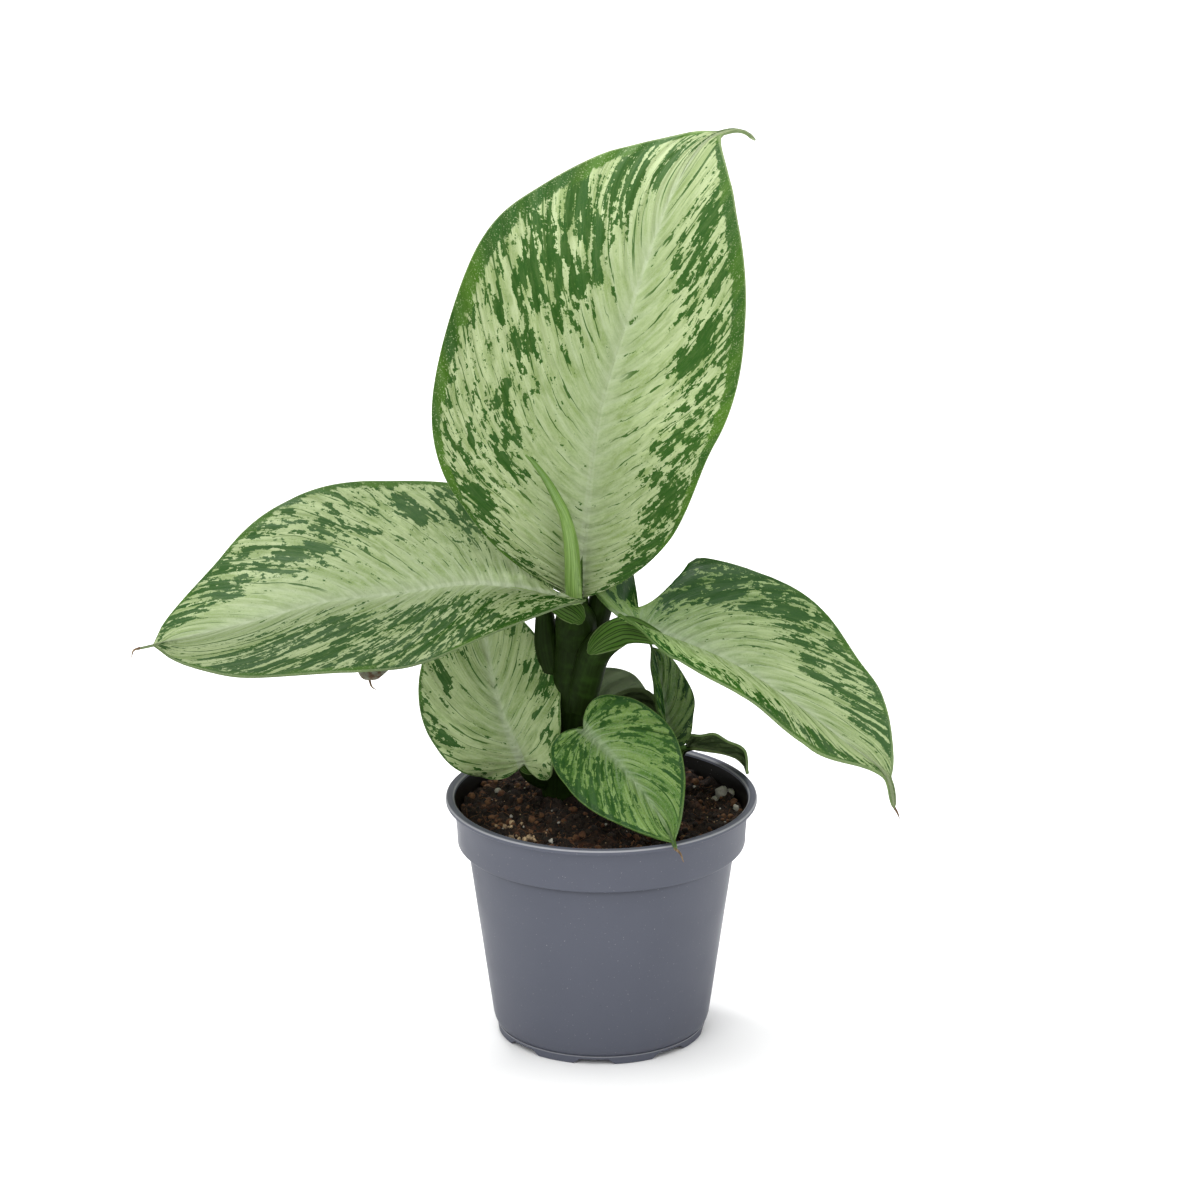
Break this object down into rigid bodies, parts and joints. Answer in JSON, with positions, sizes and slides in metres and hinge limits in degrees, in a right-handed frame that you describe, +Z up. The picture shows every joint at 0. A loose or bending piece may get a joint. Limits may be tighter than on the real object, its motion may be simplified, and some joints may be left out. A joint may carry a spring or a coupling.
{
  "type": "potted dieffenbachia",
  "caption": "Young dieffenbachia with broad variegated leaves on a short stem, rooted in soil in a small round tapered nursery pot.",
  "frame": {"origin": "on the surface the pot stands on, under the middle of the plant's bounding box; the pot's axis stands 16.75 mm to +X and 0.25 mm to +Y of it", "axes": "+Z up; -Y is the front that the leaves' upper sides face; +X is to the right of a viewer in front"},
  "size_m": [0.1419, 0.0889, 0.1692],
  "materials": {
    "pot_plastic": "satin",
    "soil": "matte",
    "stem": "satin",
    "young_spear": "satin",
    "variegated_leaf": "satin",
    "young_leaf": "satin",
    "leaf_underside": "satin"
  },
  "bodies": {
    "root": {"pot": "pot_plastic", "soil": "soil", "stem_main": "stem", "stem_side": "stem", "leaf_spear": "young_spear", "leaf_tall": "variegated_leaf", "leaf_left": "variegated_leaf", "leaf_right": "variegated_leaf", "leaf_low_left": "variegated_leaf", "leaf_front": "young_leaf", "leaf_inner_right": "young_leaf", "leaf_low_right": "leaf_underside", "leaf_back": "leaf_underside", "leaf_back_left": "leaf_underside"}
  },
  "joints": []
}
